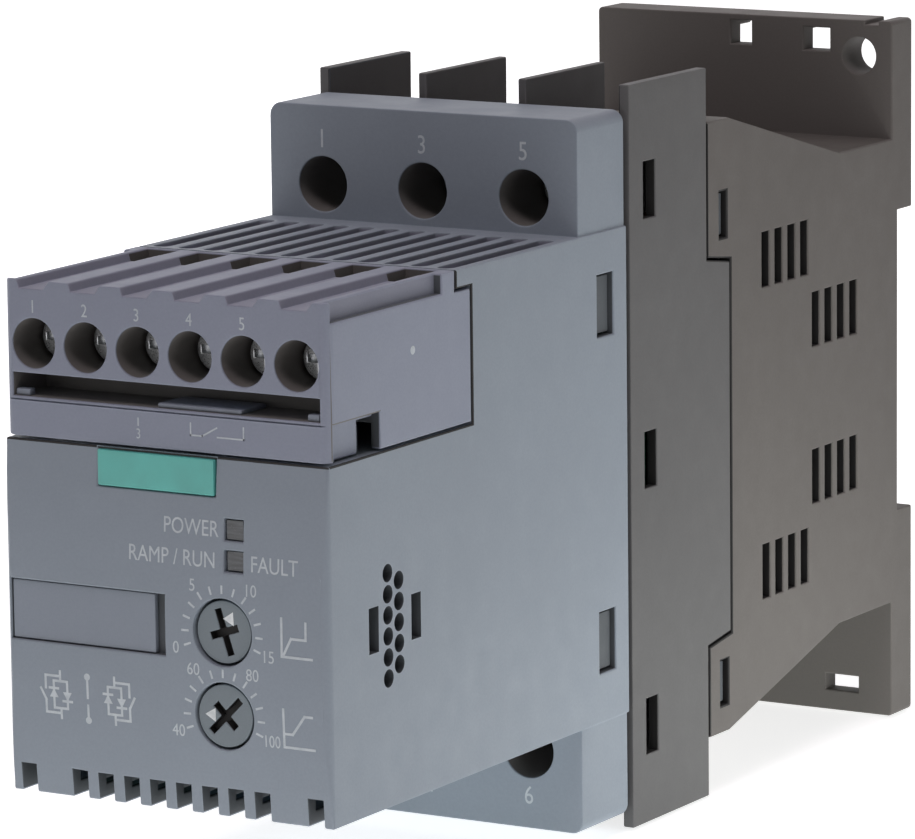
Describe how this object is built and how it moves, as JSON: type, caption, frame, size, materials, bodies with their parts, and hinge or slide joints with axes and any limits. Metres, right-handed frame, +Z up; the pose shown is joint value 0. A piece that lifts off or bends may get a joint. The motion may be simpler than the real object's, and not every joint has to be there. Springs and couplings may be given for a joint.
{
  "type": "soft starter",
  "caption": "Narrow motor soft starter with a pull-off control terminal block, two setting knobs, screw clamps for line and load wires, and a rear base for a rail or panel",
  "frame": {"origin": "middle of the bounding box at the stand plane, under the phase barriers and the lower ear", "axes": "+Z up, -Y towards the person in front of the panel, +X to the right of that person, +Y along the depth"},
  "size_m": [0.045, 0.151, 0.095],
  "materials": {
    "housing_plastic": "fine-grained moulding, blue-grey",
    "block_plastic": "fine-grained moulding, violet-grey",
    "frame_plastic": "fine-grained moulding, dark grey",
    "base_plastic": "fine-grained moulding, brown-grey",
    "latch_plastic": "moulded, near black",
    "knob_plastic": "moulded, grey",
    "label": "blank snap-in label",
    "badge": "blank coloured plate",
    "light_guide": "dark smoked light guide",
    "terminal_steel": "zinc-plated steel",
    "fastener_steel": "zinc-plated steel",
    "contact_brass": "stamped brass",
    "busbar_copper": "stamped copper",
    "heat_sink": "extruded",
    "circuit_board": "lacquered board",
    "component_black": "moulded components",
    "trimmer_blue": "moulded trimmers"
  },
  "bodies": {
    "housing": {"front_housing": "housing_plastic", "middle_frame": "frame_plastic", "rear_base": "base_plastic", "latch_spring": "fastener_steel", "line_busbar_1": "busbar_copper", "line_busbar_2": "busbar_copper", "line_busbar_3": "busbar_copper", "load_busbar_1": "busbar_copper", "load_busbar_2": "busbar_copper", "load_busbar_3": "busbar_copper", "control_header": "component_black", "heat_sink": "heat_sink", "thyristor_left": "component_black", "thyristor_right": "component_black", "power_board": "circuit_board", "bypass_relay_left": "component_black", "bypass_relay_right": "component_black", "main_board": "circuit_board", "control_board": "circuit_board", "ramp_trimmer": "trimmer_blue", "voltage_trimmer": "trimmer_blue", "heat_sink_screws": "fastener_steel", "board_screws": "fastener_steel", "upper_light_guide": "light_guide", "lower_light_guide": "light_guide", "label_plate": "label", "name_plate": "badge"},
    "ramp_knob": {"ramp_knob": "knob_plastic"},
    "voltage_knob": {"voltage_knob": "knob_plastic"},
    "rail_latch": {"rail_latch": "latch_plastic"},
    "control_block": {"control_block": "block_plastic", "control_contacts": "contact_brass"},
    "control_screw_1": {"control_screw_1": "terminal_steel"},
    "control_cage_1": {"control_cage_1": "terminal_steel"},
    "control_screw_2": {"control_screw_2": "terminal_steel"},
    "control_cage_2": {"control_cage_2": "terminal_steel"},
    "control_screw_3": {"control_screw_3": "terminal_steel"},
    "control_cage_3": {"control_cage_3": "terminal_steel"},
    "control_screw_4": {"control_screw_4": "terminal_steel"},
    "control_cage_4": {"control_cage_4": "terminal_steel"},
    "control_screw_5": {"control_screw_5": "terminal_steel"},
    "control_cage_5": {"control_cage_5": "terminal_steel"},
    "control_screw_6": {"control_screw_6": "terminal_steel"},
    "control_cage_6": {"control_cage_6": "terminal_steel"},
    "line_screw_1": {"line_screw_1": "terminal_steel"},
    "line_cage_1": {"line_cage_1": "terminal_steel"},
    "line_screw_2": {"line_screw_2": "terminal_steel"},
    "line_cage_2": {"line_cage_2": "terminal_steel"},
    "line_screw_3": {"line_screw_3": "terminal_steel"},
    "line_cage_3": {"line_cage_3": "terminal_steel"},
    "load_screw_1": {"load_screw_1": "terminal_steel"},
    "load_cage_1": {"load_cage_1": "terminal_steel"},
    "load_screw_2": {"load_screw_2": "terminal_steel"},
    "load_cage_2": {"load_cage_2": "terminal_steel"},
    "load_screw_3": {"load_screw_3": "terminal_steel"},
    "load_cage_3": {"load_cage_3": "terminal_steel"}
  },
  "joints": [
    {"name": "ramp_knob_turn", "type": "hinge", "parent": "housing", "child": "ramp_knob", "pos_m": [0.0081, -0.0735, 0.0374], "axis": [0, 1, 0], "range_deg": [-137, 83]},
    {"name": "voltage_knob_turn", "type": "hinge", "parent": "housing", "child": "voltage_knob", "pos_m": [0.0081, -0.0735, 0.0274], "axis": [0, 1, 0], "range_deg": [-20, 200]},
    {"name": "rail_latch_slide", "type": "slide", "parent": "housing", "child": "rail_latch", "axis": [0, 0, -1], "range_m": [0, 0.0045], "stiffness_N_per_m": 1500, "springref_m": -0.003, "deforming": ["latch_spring"]},
    {"name": "control_block_pull", "type": "slide", "parent": "housing", "child": "control_block", "axis": [0, -1, 0], "range_m": [0, 0.045]},
    {"name": "control_screw_1_turn", "type": "hinge", "parent": "control_block", "child": "control_screw_1", "pos_m": [-0.01825, -0.0685, 0.0695], "axis": [0, 1, 0], "range_deg": [0, 2881]},
    {"name": "control_cage_1_slide", "type": "slide", "parent": "control_block", "child": "control_cage_1", "axis": [0, -1, 0], "range_m": [0, 0.004]},
    {"name": "control_screw_2_turn", "type": "hinge", "parent": "control_block", "child": "control_screw_2", "pos_m": [-0.01095, -0.0685, 0.0695], "axis": [0, 1, 0], "range_deg": [0, 2881]},
    {"name": "control_cage_2_slide", "type": "slide", "parent": "control_block", "child": "control_cage_2", "axis": [0, -1, 0], "range_m": [0, 0.004]},
    {"name": "control_screw_3_turn", "type": "hinge", "parent": "control_block", "child": "control_screw_3", "pos_m": [-0.00365, -0.0685, 0.0695], "axis": [0, 1, 0], "range_deg": [0, 2881]},
    {"name": "control_cage_3_slide", "type": "slide", "parent": "control_block", "child": "control_cage_3", "axis": [0, -1, 0], "range_m": [0, 0.004]},
    {"name": "control_screw_4_turn", "type": "hinge", "parent": "control_block", "child": "control_screw_4", "pos_m": [0.00365, -0.0685, 0.0695], "axis": [0, 1, 0], "range_deg": [0, 2881]},
    {"name": "control_cage_4_slide", "type": "slide", "parent": "control_block", "child": "control_cage_4", "axis": [0, -1, 0], "range_m": [0, 0.004]},
    {"name": "control_screw_5_turn", "type": "hinge", "parent": "control_block", "child": "control_screw_5", "pos_m": [0.01095, -0.0685, 0.0695], "axis": [0, 1, 0], "range_deg": [0, 2881]},
    {"name": "control_cage_5_slide", "type": "slide", "parent": "control_block", "child": "control_cage_5", "axis": [0, -1, 0], "range_m": [0, 0.004]},
    {"name": "control_screw_6_turn", "type": "hinge", "parent": "control_block", "child": "control_screw_6", "pos_m": [0.01825, -0.0685, 0.0695], "axis": [0, 1, 0], "range_deg": [0, 2881]},
    {"name": "control_cage_6_slide", "type": "slide", "parent": "control_block", "child": "control_cage_6", "axis": [0, -1, 0], "range_m": [0, 0.004]},
    {"name": "line_screw_1_turn", "type": "hinge", "parent": "housing", "child": "line_screw_1", "pos_m": [-0.0145, -0.0045, 0.0814], "axis": [0, 1, 0], "range_deg": [0, 2161]},
    {"name": "line_cage_1_slide", "type": "slide", "parent": "housing", "child": "line_cage_1", "axis": [0, -1, 0], "range_m": [0, 0.0042]},
    {"name": "line_screw_2_turn", "type": "hinge", "parent": "housing", "child": "line_screw_2", "pos_m": [0, -0.0045, 0.0814], "axis": [0, 1, 0], "range_deg": [0, 2161]},
    {"name": "line_cage_2_slide", "type": "slide", "parent": "housing", "child": "line_cage_2", "axis": [0, -1, 0], "range_m": [0, 0.0042]},
    {"name": "line_screw_3_turn", "type": "hinge", "parent": "housing", "child": "line_screw_3", "pos_m": [0.0145, -0.0045, 0.0814], "axis": [0, 1, 0], "range_deg": [0, 2161]},
    {"name": "line_cage_3_slide", "type": "slide", "parent": "housing", "child": "line_cage_3", "axis": [0, -1, 0], "range_m": [0, 0.0042]},
    {"name": "load_screw_1_turn", "type": "hinge", "parent": "housing", "child": "load_screw_1", "pos_m": [-0.0145, -0.0045, 0.0118], "axis": [0, 1, 0], "range_deg": [0, 2161]},
    {"name": "load_cage_1_slide", "type": "slide", "parent": "housing", "child": "load_cage_1", "axis": [0, -1, 0], "range_m": [0, 0.0042]},
    {"name": "load_screw_2_turn", "type": "hinge", "parent": "housing", "child": "load_screw_2", "pos_m": [0, -0.0045, 0.0118], "axis": [0, 1, 0], "range_deg": [0, 2161]},
    {"name": "load_cage_2_slide", "type": "slide", "parent": "housing", "child": "load_cage_2", "axis": [0, -1, 0], "range_m": [0, 0.0042]},
    {"name": "load_screw_3_turn", "type": "hinge", "parent": "housing", "child": "load_screw_3", "pos_m": [0.0145, -0.0045, 0.0118], "axis": [0, 1, 0], "range_deg": [0, 2161]},
    {"name": "load_cage_3_slide", "type": "slide", "parent": "housing", "child": "load_cage_3", "axis": [0, -1, 0], "range_m": [0, 0.0042]}
  ],
  "couplings": [
    {"joint": "control_screw_1_turn", "follows": "control_cage_1_slide", "rad_per_m": 12566},
    {"joint": "control_screw_2_turn", "follows": "control_cage_2_slide", "rad_per_m": 12566},
    {"joint": "control_screw_3_turn", "follows": "control_cage_3_slide", "rad_per_m": 12566},
    {"joint": "control_screw_4_turn", "follows": "control_cage_4_slide", "rad_per_m": 12566},
    {"joint": "control_screw_5_turn", "follows": "control_cage_5_slide", "rad_per_m": 12566},
    {"joint": "control_screw_6_turn", "follows": "control_cage_6_slide", "rad_per_m": 12566},
    {"joint": "line_screw_1_turn", "follows": "line_cage_1_slide", "rad_per_m": 8976},
    {"joint": "line_screw_2_turn", "follows": "line_cage_2_slide", "rad_per_m": 8976},
    {"joint": "line_screw_3_turn", "follows": "line_cage_3_slide", "rad_per_m": 8976},
    {"joint": "load_screw_1_turn", "follows": "load_cage_1_slide", "rad_per_m": 8976},
    {"joint": "load_screw_2_turn", "follows": "load_cage_2_slide", "rad_per_m": 8976},
    {"joint": "load_screw_3_turn", "follows": "load_cage_3_slide", "rad_per_m": 8976}
  ]
}
